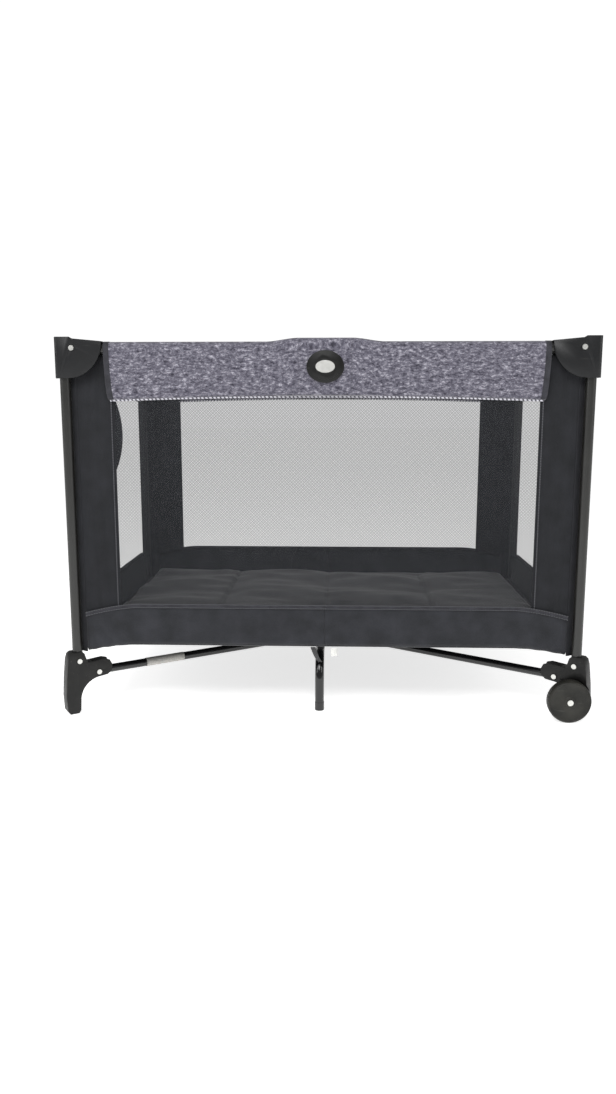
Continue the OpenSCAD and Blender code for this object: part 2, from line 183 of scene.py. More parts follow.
def studio_room(lighting, backdrop):
    """A dim pale room for the light, which the camera itself sees as a white backdrop."""
    world = bpy.data.worlds.new("studio")
    bpy.context.scene.world = world
    world.use_nodes = True
    tree = world.node_tree
    room = tree.nodes["Background"]
    room.inputs["Color"].default_value = linear("#ffffff")
    room.inputs["Strength"].default_value = lighting
    white = tree.nodes.new("ShaderNodeBackground")
    white.inputs["Color"].default_value = linear("#ffffff")
    white.inputs["Strength"].default_value = backdrop
    rays = tree.nodes.new("ShaderNodeLightPath")
    chosen = tree.nodes.new("ShaderNodeMixShader")
    tree.links.new(rays.outputs["Is Camera Ray"], chosen.inputs[0])
    tree.links.new(room.outputs["Background"], chosen.inputs[1])
    tree.links.new(white.outputs["Background"], chosen.inputs[2])
    tree.links.new(chosen.outputs["Shader"], tree.nodes["World Output"].inputs["Surface"])


PAPER_UNDER_FEET = 0.0005
studio_room(lighting=0.32, backdrop=1.05)
soft_lamp("key", (-0.5, -2.4, 2.6), (0, 0, 0.4), 2.2, 1.2, 62)
soft_lamp("left", (-2.4, -1.2, 1.6), (0, 0, 0.4), 0.5, 1.8, 16)
soft_lamp("right", (2.4, -1.2, 1.6), (0, 0, 0.4), 0.5, 1.8, 16)

bpy.context.scene.view_settings.view_transform = "Standard"
bpy.ops.mesh.primitive_plane_add(size=40, location=(0, 0, -PAPER_UNDER_FEET))
ground = bpy.context.object
ground.name = "ground"
ground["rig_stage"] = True

# %% [markdown]
# ## Making a finish
#
# A finish is a Principled shader with a few nodes behind its colour, roughness and bump. Values that are
# the same all over are set on the shader itself. One helper starts a finish, and one adds a node.

# %% Helpers for finishes
def finish(name, **values):
    """A new material with its Principled shader's constant values set."""
    material = bpy.data.materials.new(name)
    material.use_nodes = True
    shader = material.node_tree.nodes["Principled BSDF"]
    for key, value in values.items():
        socket = shader.inputs[key.replace("_", " ")]
        socket.default_value = linear(value) if isinstance(value, str) else value
    return material, shader


def add_node(material, kind, settings=None, links=None):
    """Adds a shader node: settings are its properties or unlinked inputs, links are its linked inputs."""
    made = material.node_tree.nodes.new(kind)
    for key, value in (settings or {}).items():
        if isinstance(key, int) or key in made.inputs:
            made.inputs[key].default_value = linear(value) if isinstance(value, str) else value
        else:
            setattr(made, key, value)
    for key, source in (links or {}).items():
        material.node_tree.links.new(source, made.inputs[key])
    return made


def ramp(material, source, stops):
    """Colours along a 0 to 1 value: stops are (place, hex colour)."""
    made = add_node(material, "ShaderNodeValToRGB", links={"Fac": source})
    points = made.color_ramp.elements
    while len(points) < len(stops):
        points.new(0.5)
    for point, (place, colour) in zip(points, stops):
        point.position = place
        point.color = linear(colour)
    return made.outputs["Color"]


def spread(material, source, low, high, to_low, to_high):
    """The value moved from one range to another, and held within it."""
    return add_node(material, "ShaderNodeMapRange",
                    {"From Min": low, "From Max": high, "To Min": to_low, "To Max": to_high},
                    {"Value": source}).outputs["Result"]


def bumped(material, shader, height, strength, distance):
    """Gives the shader a bump of the given real distance."""
    bump = add_node(material, "ShaderNodeBump", {"Strength": strength, "Distance": distance},
                    {"Height": height})
    material.node_tree.links.new(bump.outputs["Normal"], shader.inputs["Normal"])


def per_mm(size_mm):
    """The scale of a noise whose features are about that many millimetres across."""
    return 1 / (size_mm * MM)


# %% [markdown]
# ## The floor sheet
#
# A roll of matt paper, nearly white, with a faint fibre.

# %% Paper floor
def backdrop_paper():
    material, shader = finish("matt_backdrop_paper", Roughness=0.95, Specular_IOR_Level=0.1,
                              Emission_Color="#ffffff", Emission_Strength=0.72)
    place = add_node(material, "ShaderNodeTexCoord").outputs["Object"]
    fibre = add_node(material, "ShaderNodeTexNoise", {"Scale": per_mm(30), "Detail": 4}, {"Vector": place})
    tint = ramp(material, fibre.outputs["Fac"], [(0.3, "#f6f6f5"), (0.7, "#fafaf9")])
    material.node_tree.links.new(tint, shader.inputs["Base Color"])
    return material


ground.data.materials.append(backdrop_paper())

# %% [markdown]
# ## Powder-coated steel
#
# The posts, rails, base tubes and legs are thin steel tube, powder coated in black. The coat is smooth and
# glossy, with the faint orange peel of melted powder, about 1.5 mm from crest to crest, so highlights run
# down the tube as long, slightly broken lines. Steel under paint shows no metal, so Metallic stays at 0.

# %% Powder-coated steel
def powder_coat(name, colour, light, roughness):
    material, shader = finish(name, Roughness=roughness, IOR=1.5, Coat_Weight=0.25, Coat_Roughness=0.12)
    place = add_node(material, "ShaderNodeTexCoord").outputs["Object"]
    peel = add_node(material, "ShaderNodeTexNoise", {"Scale": per_mm(3), "Detail": 2}, {"Vector": place})
    broad = add_node(material, "ShaderNodeTexNoise", {"Scale": per_mm(60), "Detail": 3}, {"Vector": place})
    tint = ramp(material, broad.outputs["Fac"], [(0.3, colour), (0.7, light)])
    material.node_tree.links.new(tint, shader.inputs["Base Color"])
    rough = spread(material, broad.outputs["Fac"], 0.3, 0.7, roughness - 0.05, roughness + 0.08)
    material.node_tree.links.new(rough, shader.inputs["Roughness"])
    bumped(material, shader, peel.outputs["Fac"], 0.25, 0.1 * MM)
    return material


# One powder coat in two copies: the coat on posts and rails is painted lighter, as painted light, and the
# coat on base tubes and legs is painted darker, as painted shade under the floor.
post_coat_painted_light = powder_coat("powder_coated_steel_satin_painted_light", "#11110f", "#191916", 0.36)
base_coat_painted_shade = powder_coat("powder_coated_steel_gloss_painted_shade", "#09090a", "#0f0f11", 0.2)

# %% [markdown]
# ## Moulded polypropylene
#
# Caps, feet, hub and latch cases are injection-moulded polypropylene, black, with a fine spark-eroded
# grain of about 0.4 mm, drawn at 0.8 mm here. Where hands and floors rub it, it goes paler and a bit
# smoother. The wheels are the same plastic, older looking: mottled with dust, with thin straight scratches.

# %% Moulded plastics
def moulded(name, dark, light, roughness, grain_mm=0.8, scuff=0.35):
    material, shader = finish(name, IOR=1.49, Roughness=roughness, Specular_IOR_Level=0.35)
    place = add_node(material, "ShaderNodeTexCoord").outputs["Object"]
    grain = add_node(material, "ShaderNodeTexNoise", {"Scale": per_mm(grain_mm * 2), "Detail": 3},
                     {"Vector": place})
    worn = add_node(material, "ShaderNodeTexNoise", {"Scale": per_mm(34), "Detail": 6, "Roughness": 0.65},
                    {"Vector": place})
    stretched = add_node(material, "ShaderNodeMapping",
                         {"Scale": (0.05, 1, 0.4), "Rotation": (0.3, 0.6, 0.9)}, {"Vector": place})
    lines = add_node(material, "ShaderNodeTexNoise", {"Scale": per_mm(2.5), "Detail": 2},
                     {"Vector": stretched.outputs["Vector"]})
    scratch = spread(material, lines.outputs["Fac"], 0.68, 0.78, 0, scuff)
    tint = ramp(material, worn.outputs["Fac"], [(0.35, dark), (0.7, light)])
    mixed = add_node(material, "ShaderNodeMix", {"data_type": "RGBA", 7: "#5b5b56"}, {0: scratch, 6: tint})
    material.node_tree.links.new(mixed.outputs[2], shader.inputs["Base Color"])
    rough = spread(material, worn.outputs["Fac"], 0.3, 0.7, roughness + 0.06, roughness - 0.06)
    material.node_tree.links.new(rough, shader.inputs["Roughness"])
    bumped(material, shader, grain.outputs["Fac"], 0.35, 0.15 * MM)
    return material


cap_plastic = moulded("moulded_polypropylene_cap", "#0d0e10", "#151618", 0.42, scuff=0.12)
foot_plastic = moulded("moulded_polypropylene_foot", "#0b0b0b", "#141412", 0.48, scuff=0.3)
wheel_plastic = moulded("moulded_polypropylene_wheel", "#191916", "#2b2a25", 0.5, scuff=0.6)
latch_plastic = moulded("moulded_abs_bezel", "#080808", "#0f0f0e", 0.36, scuff=0.1)

# %% [markdown]
# ## Rivets and the button
#
# The rivets and axles are zinc-plated steel: pale, metallic, with the soft swirl of tumbled parts, about
# 0.7 mm. The push button is light grey ABS, polished in the mould, so it is only slightly rough.

# %% Rivets and button
def plated_steel():
    material, shader = finish("zinc_plated_steel", Metallic=1.0, Base_Color="#d6d6d2")
    place = add_node(material, "ShaderNodeTexCoord").outputs["Object"]
    swirl = add_node(material, "ShaderNodeTexNoise", {"Scale": per_mm(1.4), "Detail": 3, "Distortion": 1.2},
                     {"Vector": place})
    rough = spread(material, swirl.outputs["Fac"], 0.3, 0.7, 0.28, 0.48)
    material.node_tree.links.new(rough, shader.inputs["Roughness"])
    bumped(material, shader, swirl.outputs["Fac"], 0.3, 0.08 * MM)
    return material


def polished_abs():
    material, shader = finish("polished_grey_abs", IOR=1.53, Roughness=0.28, Coat_Weight=0.2)
    place = add_node(material, "ShaderNodeTexCoord").outputs["Object"]
    haze = add_node(material, "ShaderNodeTexNoise", {"Scale": per_mm(9), "Detail": 4}, {"Vector": place})
    tint = ramp(material, haze.outputs["Fac"], [(0.3, "#a8a8a5"), (0.7, "#b9b9b6")])
    material.node_tree.links.new(tint, shader.inputs["Base Color"])
    bumped(material, shader, haze.outputs["Fac"], 0.1, 0.1 * MM)
    return material


rivet_steel = plated_steel()
button_abs = polished_abs()

# %% [markdown]
# ## Rounded edges on the moulded pieces
#
# A real moulding has no sharp edge: each one has a radius of half a millimetre to two, and that is where
# the light catches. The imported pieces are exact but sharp, so each moulded one is copied, its loose
# triangles are merged into whole faces, and a Bevel modifier rounds every edge steeper than 35 degrees.
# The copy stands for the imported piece. Tubes and rivets have no such edges in sight, so they stay.

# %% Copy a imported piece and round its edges
def body_of(node):
    return nodes[node]["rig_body"]


def rounded(node, finish_used, radius, name, segments=2):
    """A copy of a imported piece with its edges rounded, which rides on the same body and stands for it."""
    piece = bpy.data.objects.new(name, nodes[node].data.copy())
    bpy.context.scene.collection.objects.link(piece)
    bpy.context.view_layer.objects.active = piece
    piece.select_set(True)
    bpy.ops.object.mode_set(mode="EDIT")
    bpy.ops.mesh.select_all(action="SELECT")
    bpy.ops.mesh.remove_doubles(threshold=0.00002)
    bpy.ops.mesh.dissolve_limited(angle_limit=math.radians(1))
    bpy.ops.object.mode_set(mode="OBJECT")
    piece.data.materials.clear()
    piece.data.materials.append(finish_used)
    bevel = piece.modifiers.new("rounded edges", "BEVEL")
    bevel.width = radius
    bevel.segments = segments
    bevel.limit_method = "ANGLE"
    bevel.angle_limit = math.radians(35)
    bevel.use_clamp_overlap = True
    bpy.ops.object.modifier_apply(modifier=bevel.name)
    bpy.ops.object.shade_smooth_by_angle(angle=math.radians(40))
    piece.select_set(False)
    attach(piece, body_of(node))
    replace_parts(piece, node)
    return piece


CORNERS = ["front_left", "front_right", "back_left", "back_right"]
SIDES = ["front", "back", "left", "right"]
for corner in CORNERS:
    rounded("cap_" + corner, cap_plastic, 1.2 * MM, "cap_moulding_" + corner)
for corner in ["front_left", "back_left"]:
    rounded("foot_" + corner, foot_plastic, 2.2 * MM, "foot_moulding_" + corner)
for corner in ["front_right", "back_right"]:
    rounded("wheel_foot_" + corner, foot_plastic, 1.6 * MM, "wheel_foot_moulding_" + corner)
for side in SIDES:
    rounded("latch_" + side, latch_plastic, 0.9 * MM, "latch_moulding_" + side)
    rounded("button_" + side, button_abs, 1.2 * MM, "button_moulding_" + side, 3)
for end in ["front", "back"]:
    rounded("wheel_" + end, wheel_plastic, 0.8 * MM, "wheel_moulding_" + end)
rounded("hub_body", cap_plastic, 1 * MM, "hub_moulding")

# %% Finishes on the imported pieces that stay
def paint(node, material):
    nodes[node].data.materials.clear()
    nodes[node].data.materials.append(material)


for name in nodes:
    if name.startswith("post_") or name.startswith("rail_"):
        paint(name, post_coat_painted_light)
    if name.startswith("base_tube") or name.startswith("centre_leg"):
        paint(name, base_coat_painted_shade)
    if name.startswith("rivets_") or name == "hub_pins":
        paint(name, rivet_steel)

# %% [markdown]
# ## Cloth
#
# Five cloths make the soft parts. The rail covers are a mélange twill: yarns of dark and pale lilac-grey
# fibres, whose flecks are about 2 mm by 5 mm, and a nap that scatters light at the edges, which is what
# Sheen does. The walls are tight black polyester, nearly plain, with a weave under a millimetre that is
# drawn at 1.6 mm. The pad's cover is the same cloth in a worn dark grey. The window is a knitted net, and
# the trims are dark and pale tapes. Each pattern reads the piece's own UV map, which is in metres along
# and up the cloth, so it follows the cloth when it is sewn, bent or gathered.

# %% Woven cloth
def woven(name, dark, light, thread_mm, sheen, mottle_mm=40, roughness=0.85):
    """A plain weave: warp and weft as crossing waves, and slow changes of tone."""
    material, shader = finish(name, Roughness=roughness, Sheen_Weight=sheen, Sheen_Roughness=0.4,
                              Specular_IOR_Level=0.3)
    cloth = add_node(material, "ShaderNodeTexCoord").outputs["UV"]
    ratio = 2 * math.pi / 20
    warp = add_node(material, "ShaderNodeTexWave",
                    {"bands_direction": "X", "Scale": ratio * per_mm(thread_mm), "Distortion": 0.4},
                    {"Vector": cloth})
    weft = add_node(material, "ShaderNodeTexWave",
                    {"bands_direction": "Y", "Scale": ratio * per_mm(thread_mm), "Distortion": 0.4},
                    {"Vector": cloth})
    weave = add_node(material, "ShaderNodeMath", {"operation": "MAXIMUM"},
                     {0: warp.outputs["Fac"], 1: weft.outputs["Fac"]})
    mottle = add_node(material, "ShaderNodeTexNoise", {"Scale": per_mm(mottle_mm), "Detail": 5},
                      {"Vector": cloth})
    lint = add_node(material, "ShaderNodeTexNoise", {"Scale": per_mm(2.2), "Detail": 3}, {"Vector": cloth})
    mixed = add_node(material, "ShaderNodeMath", {"operation": "MULTIPLY_ADD", 1: 0.45},
                     {0: lint.outputs["Fac"], 2: mottle.outputs["Fac"]})
    tint = ramp(material, mixed.outputs["Value"], [(0.5, dark), (0.95, light)])
    material.node_tree.links.new(tint, shader.inputs["Base Color"])
    bumped(material, shader, weave.outputs["Value"], 0.5, 0.25 * MM)
    return material


wall_cloth = woven("woven_polyester_black", "#17181b", "#222327", 1.6, 0.10)
band_cloth = woven("woven_polyester_band", "#1f2023", "#2f3035", 1.6, 0.14)
pad_cloth = woven("brushed_polyester_grey", "#3c3c3e", "#535355", 2.4, 0.35, mottle_mm=70)
tape_cloth = woven("woven_tape_dark", "#26262a", "#3a3a40", 1.4, 0.25, mottle_mm=15)


# %% Heather twill and stitched piping
def heather_twill():
    material, shader = finish("heather_twill", Roughness=0.9, Sheen_Weight=0.35, Sheen_Roughness=0.5,
                              Specular_IOR_Level=0.2)
    cloth = add_node(material, "ShaderNodeTexCoord").outputs["UV"]
    along = add_node(material, "ShaderNodeMapping", {"Scale": (0.62, 1.15, 1), "Rotation": (0, 0, 0.12)},
                     {"Vector": cloth})
    flecks = add_node(material, "ShaderNodeTexNoise",
                      {"Scale": per_mm(5.0), "Detail": 5, "Roughness": 0.8, "Distortion": 0.4},
                      {"Vector": along.outputs["Vector"]})
    streaks = add_node(material, "ShaderNodeTexNoise", {"Scale": per_mm(11), "Detail": 3},
                       {"Vector": along.outputs["Vector"]})
    blend = add_node(material, "ShaderNodeMath", {"operation": "MULTIPLY_ADD", 1: 0.3},
                     {0: streaks.outputs["Fac"], 2: flecks.outputs["Fac"]})
    tint = ramp(material, blend.outputs["Value"],
                [(0.50, "#2b2933"), (0.6, "#4e4c58"), (0.7, "#6a6873"), (0.81, "#a5a3ad")])
    material.node_tree.links.new(tint, shader.inputs["Base Color"])
    bumped(material, shader, flecks.outputs["Fac"], 0.6, 0.5 * MM)
    return material


def stitched_cord(name, dark, light, stitch_mm):
    """A corded edge whose stitches lie across it every few millimetres."""
    material, shader = finish(name, Roughness=0.7, Sheen_Weight=0.3)
    cloth = add_node(material, "ShaderNodeTexCoord").outputs["UV"]
    turned = add_node(material, "ShaderNodeMapping", {"Rotation": (0, 0, 0.35)}, {"Vector": cloth})
    stitches = add_node(material, "ShaderNodeTexWave",
                        {"bands_direction": "X", "Scale": 2 * math.pi / 20 * per_mm(stitch_mm),
                         "Distortion": 1.5, "Detail": 2}, {"Vector": turned.outputs["Vector"]})
    tint = ramp(material, stitches.outputs["Fac"], [(0.15, dark), (0.65, light)])
    material.node_tree.links.new(tint, shader.inputs["Base Color"])
    bumped(material, shader, stitches.outputs["Fac"], 0.6, 0.6 * MM)
    return material


heather = heather_twill()
hem_cord = stitched_cord("corded_hem_grey", "#3f3d48", "#c9c8d0", 7)
seam_cord = stitched_cord("corded_seam_black", "#222327", "#3c3d43", 4.5)


# %% [markdown]
# ## The window net
#
# The window is warp-knitted polyester net, whose holes are 1.5 mm in truth. Drawn at that size they melt
# into an even grey from two metres off, so they are drawn 4 mm apart, along both diagonals, as the knit
# lies. The net is one thin sheet, and the holes are in its Alpha: threads are nearly opaque, and the space
# between them keeps a little veil, which stands for the fibres too fine to draw.

# %% Net
def knitted_net():
    material, shader = finish("knitted_net", Roughness=0.75, Specular_IOR_Level=0.3, Sheen_Weight=0.2)
    pitch_mm, veil, thread = 4.2, 0.22, 0.44
    cloth = add_node(material, "ShaderNodeTexCoord").outputs["UV"]
    threads = []
    for mirrored in (1, -1):
        turned = add_node(material, "ShaderNodeMapping", {"Scale": (mirrored, 1, 1)}, {"Vector": cloth})
        band = add_node(material, "ShaderNodeTexWave",
                        {"bands_direction": "DIAGONAL",
                         "Scale": 2 * math.pi / 10 * per_mm(pitch_mm * math.sqrt(2))},
                        {"Vector": turned.outputs["Vector"]})
        threads.append(band.outputs["Fac"])
    crossing = add_node(material, "ShaderNodeMath", {"operation": "MAXIMUM"}, {0: threads[0], 1: threads[1]})
    alpha = spread(material, crossing.outputs["Value"], 0.55, 1.0, veil, thread)
    material.node_tree.links.new(alpha, shader.inputs["Alpha"])
    tint = ramp(material, crossing.outputs["Value"], [(0.6, "#212327"), (1.0, "#36383c")])
    material.node_tree.links.new(tint, shader.inputs["Base Color"])
    return material


net = knitted_net()

# %% [markdown]
# ## How the cloth is cut and hung
#
# A wall hangs between two corner posts, a little inside them. When the yard folds, its posts come
# together and the cloth gathers between them. So each wall is sewn in two halves that meet in the middle,
# and each half rides on its own corner.
#
# A cloth is a flat grid whose vertices are moved to their places by a short rule, in numpy, since a seam
# line or a sag is easier to say as a rule than to push by hand. One function makes the grid and its UV map.

# %% Sides, halves and how far they gather
joints = {joint["name"]: joint for joint in frame["joints"]}
WRAP = 0.020
HALF_X = POST_X - WRAP
HALF_Y = POST_Y - WRAP
HALVES = [(side, end) for side in SIDES for end in (("left", "right") if side in ("front", "back")
                                                    else ("front", "back"))]


def corner_of(side, end):
    return f"{side}_{end}" if side in ("front", "back") else f"{end}_{side}"


def way(end):
    """Which way a half runs from the middle of its side."""
    return 1 if end in ("right", "back") else -1


def half_length(side):
    return HALF_X if side in ("front", "back") else HALF_Y


def on_side(side, along, out, up, plane_x=WALL_X, plane_y=WALL_Y):
    """Points at a distance along a side, outwards from an upright plane, and up."""
    if side == "front":
        return np.stack([along, -plane_y - out, up], axis=1)
    if side == "back":
        return np.stack([along, plane_y + out, up], axis=1)
    if side == "left":
        return np.stack([-plane_x - out, along, up], axis=1)
    return np.stack([plane_x + out, along, up], axis=1)


def gather(piece, side, end):
    """Lets a half of a wall ride on the body of its corner post, with a mesh of its own."""
    corner = corner_of(side, end)
    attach(piece, body_of("post_" + corner))
    if side in ("front", "back"):
        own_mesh(piece)
    else:
        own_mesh(piece)
    return piece


def smooth(value):
    """0 below 0, 1 above 1, and an even ramp between them with no corners."""
    held = np.clip(value, 0, 1)
    return held * held * (3 - 2 * held)


def ripple(a, b, seed, reach):
    """Soft uneven waves of about that reach, from -1 to 1, the same on every run."""
    total = np.zeros_like(a)
    for n in range(5):
        turn = seed * 1.7 + n * 2.4
        total += np.sin((a * math.cos(turn) + b * math.sin(turn)) * 2 * math.pi / reach * (0.7 + 0.23 * n)
                        + seed * 3.1 + n * 1.3)
    return total / 5


def sewn(name, across, up, place, material, turned=False, thick=0.0):
    """A cloth of across by up squares. place(s, t) gives its points and its UV map, s and t from 0 to 1."""
    bpy.ops.mesh.primitive_grid_add(x_subdivisions=across, y_subdivisions=up, size=1)
    piece = bpy.context.object
    piece.name = name
    mesh = piece.data
    flat = np.zeros(len(mesh.vertices) * 3)
    mesh.vertices.foreach_get("co", flat)
    flat = flat.reshape(-1, 3) + 0.5
    points, cloth = place(flat[:, 0], flat[:, 1])
    mesh.vertices.foreach_set("co", points.ravel())
    corner_vertex = np.zeros(len(mesh.loops), int)
    mesh.loops.foreach_get("vertex_index", corner_vertex)
    mesh.uv_layers.active.data.foreach_set("uv", cloth[corner_vertex].ravel())
    if turned:
        mesh.flip_normals()
    mesh.materials.append(material)
    mesh.update()
    bpy.ops.object.shade_smooth()
    if thick:
        wall = piece.modifiers.new("thickness", "SOLIDIFY")
        wall.thickness = thick
        wall.offset = -1
        bpy.ops.object.modifier_apply(modifier=wall.name)
    piece.select_set(False)
    return piece


# %% [markdown]
# ## The lower band and its seam
#
# Along the bottom runs a band of the heavier black cloth, 80 mm high, sewn to the panels and the net above
# it with a corded tape. Near each corner both the seam and the bottom edge dip, because the cloth is
# pulled down to the foot, and the loose cloth there makes small folds. The bottom edge rolls under.

# %% Lower band
SEAM_Z = 0.2135
SEAM_DIP = 0.018
BAND_LOW = WALL_LOW - 0.0013
BAND_DIP = 0.012
DIP_REACH = 0.105
BAND_ROLL = 0.009
BAND_FULL = 0.0035
CORNER_FOLD = 0.0026
HELD_AT_POST = 0.012


def corner_share(side, along):
    """1 at the corner and 0 from a hand's width away from it."""
    return np.clip(1 - (half_length(side) - np.abs(along)) / DIP_REACH, 0, 1)


def seam_height(side, along):
    return SEAM_Z - SEAM_DIP * corner_share(side, along) ** 1.6


def band_bottom(side, along):
    return BAND_LOW - BAND_DIP * corner_share(side, along) ** 2


def facing_in(side):
    """True for the sides on which a grid that runs along and up faces into the yard."""
    return side in ("back", "left")


def band(side, end):
    sign, reach = way(end), half_length(side)

    def place(s, t):
        along = sign * reach * (s if sign > 0 else 1 - s)
        low, high = band_bottom(side, along), seam_height(side, along)
        up = low + (high - low) * t
        near = corner_share(side, along)
        rolled = -BAND_ROLL * np.clip(1 - t / 0.14, 0, 1) ** 2
        full = BAND_FULL * np.sin(np.pi * np.clip(t, 0, 1)) ** 0.6 + 0.0015
        folds = CORNER_FOLD * near * np.sin(along * 210 + up * 120 + 1.2 * sign) * (1 - t) ** 1.5
        loose = 0.0012 * ripple(along, up * 2.2, 1.0 + sign, 0.19) * (1 - 0.6 * np.abs(2 * t - 1))
        hold = 1 - smooth((np.abs(along) - reach + HELD_AT_POST) / HELD_AT_POST)
        out = (full + folds + loose) * hold + rolled
        return on_side(side, along, out, up), np.stack([along, up], axis=1)

    piece = sewn(f"band_{side}_{end}", 150, 26, place, band_cloth, facing_in(side), thick=1.2 * MM)
    gather(piece, side, end)
    return piece


for side, end in HALVES:
    band(side, end)


# %% [markdown]
# ## Cords and tapes
#
# Every edge of the cloth is finished with something: a round cord in a sleeve along the hem of the rail
# covers, a flat tape with two raised edges on the band's seam, and a thin corded line beside the window. All
# are closed bands of an oval section that run along a wall or up it, so one rule makes them: a grid whose
# long way follows a line and whose short way goes once round the section. Its first and last rings shrink
# to a point, which closes the ends, and its doubled edge is merged.

# %% Closed cords and tapes
def closed(piece):
    """Merges the doubled seam and points every face outwards."""
    bpy.context.view_layer.objects.active = piece
    piece.select_set(True)
    bpy.ops.object.mode_set(mode="EDIT")
    bpy.ops.mesh.select_all(action="SELECT")
    bpy.ops.mesh.remove_doubles(threshold=0.00001)
    bpy.ops.mesh.normals_make_consistent(inside=False)
    bpy.ops.object.mode_set(mode="OBJECT")
    piece.select_set(False)
    return piece


def trim(name, side, line, wide, thick, material, steps, upright=False, plane_x=WALL_X, plane_y=WALL_Y):
    """A closed cord or tape: line(s) gives along, out and up, wide is across its run, thick is outwards.

    Its UV map runs along it in metres, and round it by about the way round its section.
    """
    def place(s, t):
        along, out, up = line(np.clip((s * steps - 1) / (steps - 2), 0, 1))
        inner = np.where((s < 0.5 / steps) | (s > 1 - 0.5 / steps), 0.0, 1.0)
        turn = 2 * np.pi * t
        across = np.sign(np.cos(turn)) * np.abs(np.cos(turn)) ** 0.8 * wide / 2 * inner
        out = out + np.sin(turn) * thick / 2 * inner
        run = up if upright else along
        points = on_side(side, along + across * upright, out, up + across * (not upright), plane_x, plane_y)
        return points, np.stack([run, t * (wide + thick) * 1.6], axis=1)

    return closed(sewn(name, steps, 12, place, material))


def half_line(side, end, first, last, out, height):
    """A line along a half wall from first to last, at a fixed distance out and at height(along)."""
    sign = way(end)

    def line(s):
        along = sign * (first + (last - first) * s)
        return along, out + 0 * along, height(along)

    return line


# %% The seam tape and its two raised edges
TAPE_WIDE, TAPE_THICK, TAPE_OUT = 0.0085, 0.0022, 0.0030
EDGE_THICK, EDGE_OUT, EDGE_FROM_MIDDLE = 0.0020, 0.0040, 0.0032
for side, end in HALVES:
    reach = half_length(side)
    tape = trim(f"seam_tape_{side}_{end}", side,
                half_line(side, end, 0, reach, TAPE_OUT, lambda a, side=side: seam_height(side, a)),
                TAPE_WIDE, TAPE_THICK, tape_cloth, 120)
    for level, label in ((EDGE_FROM_MIDDLE, "upper"), (-EDGE_FROM_MIDDLE, "lower")):
        cord = trim(f"seam_cord_{label}_{side}_{end}", side,
                    half_line(side, end, 0, reach, EDGE_OUT,
                              lambda a, side=side, level=level: seam_height(side, a) + level),
                    EDGE_THICK, EDGE_THICK, seam_cord, 120)
        gather(cord, side, end)
    gather(tape, side, end)

# %% [markdown]
# ## Windows and corner panels
#
# Above the band each wall is a net window between two black panels. The panels reach past the end of the
# rail cover and stop just under the rail, so they are cut higher there. Net and panels are one taut
# surface with the same slow slack, so one rule gives the slack to both, and they meet edge to edge under
# the corded line. Where two walls meet at a post, the cloth turns round the inside of the post, in a curve
# that leaves the tube free.

# %% Net windows and black panels
WINDOW_HALF = {"front": 0.391, "back": 0.391, "left": 0.232, "right": 0.232}
COVER_REACH = {"front": COVER_END, "back": COVER_END, "left": COVER_END_Y, "right": COVER_END_Y}
TUCKED_TOP = HEM_Z + 0.050
PANEL_TOP = RAIL_Z - 0.012
TUCK = 0.004


def slack(side, along, up):
    """How far the wall's taut cloth stands out, to the same rule on net and panels."""
    held = 1 - smooth((np.abs(along) - half_length(side) + 0.03) / 0.03)
    seed = 1.0 + SIDES.index(side)
    folds = 0.0011 * np.sin(np.abs(along) * 330 + 2.0 * np.sin(up * 9)) * corner_share(side, along) ** 2
    return 0.0011 * ripple(along, up * 0.7, seed, 0.30) * held + folds * held


def net_window(side, end):
    sign, edge = way(end), WINDOW_HALF[side]

    def place(s, t):
        along = sign * edge * (s if sign > 0 else 1 - s)
        low = seam_height(side, along) - TUCK
        up = low + (TUCKED_TOP - low) * t
        return on_side(side, along, slack(side, along, up), up), np.stack([along, up], axis=1)

    piece = sewn(f"net_{side}_{end}", 60, 40, place, net, facing_in(side))
    gather(piece, side, end)
    return piece


def corner_panel(side, end):
    sign, edge, reach = way(end), WINDOW_HALF[side], half_length(side)

    def place(s, t):
        along = sign * (edge + (reach - edge) * (s if sign > 0 else 1 - s))
        low = seam_height(side, along) - TUCK
        past_cover = smooth((np.abs(along) - COVER_REACH[side] + 0.004) / 0.010)
        high = TUCKED_TOP + (PANEL_TOP - TUCKED_TOP) * past_cover
        up = low + (high - low) * t
        return on_side(side, along, slack(side, along, up), up), np.stack([along, up], axis=1)

    piece = sewn(f"panel_{side}_{end}", 44, 90, place, wall_cloth, facing_in(side), thick=0.8 * MM)
    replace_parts(gather(piece, side, end), "wall_" + corner_of(side, end))
    return piece


for side, end in HALVES:
    net_window(side, end)
    corner_panel(side, end)
    ridge = trim(f"window_cord_{side}_{end}", side,
                 lambda s, side=side, end=end: (way(end) * (WINDOW_HALF[side] + 0.0055) + 0 * s,
                                                0.0010 + 0 * s, SEAM_Z + (HEM_Z + 0.010 - SEAM_Z) * s),
                 0.0022, 0.0018, seam_cord, 60, upright=True)
    gather(ridge, side, end)


# %% Cloth round the posts
def corner_signs(corner):
    """The way a corner lies from the middle, as the signs of its X and Y."""
    y_word, x_word = corner.split("_")
    return (-1 if x_word == "left" else 1), (-1 if y_word == "front" else 1)


def corner_wrap(corner):
    """The cloth from one wall to the next, on a curve of four control points."""
    sx, sy = corner_signs(corner)
    handle = 0.008
    xs = [HALF_X, HALF_X + handle, WALL_X, WALL_X]
    ys = [WALL_Y, WALL_Y, HALF_Y + handle, HALF_Y]

    def place(s, t):
        weights = [(1 - s) ** 3, 3 * s * (1 - s) ** 2, 3 * s ** 2 * (1 - s), s ** 3]
        x = sum(w * v for w, v in zip(weights, xs))
        y = sum(w * v for w, v in zip(weights, ys))
        low = BAND_LOW - BAND_DIP
        up = low + (PANEL_TOP - low) * t
        return np.stack([sx * x, sy * y, up], axis=1), np.stack([s * 0.03, up], axis=1)

    piece = sewn("corner_wrap_" + corner, 12, 60, place, wall_cloth, sx * sy > 0, thick=0.8 * MM)
    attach(piece, body_of("post_" + corner))
    return piece


for corner in CORNERS:
    corner_wrap(corner)
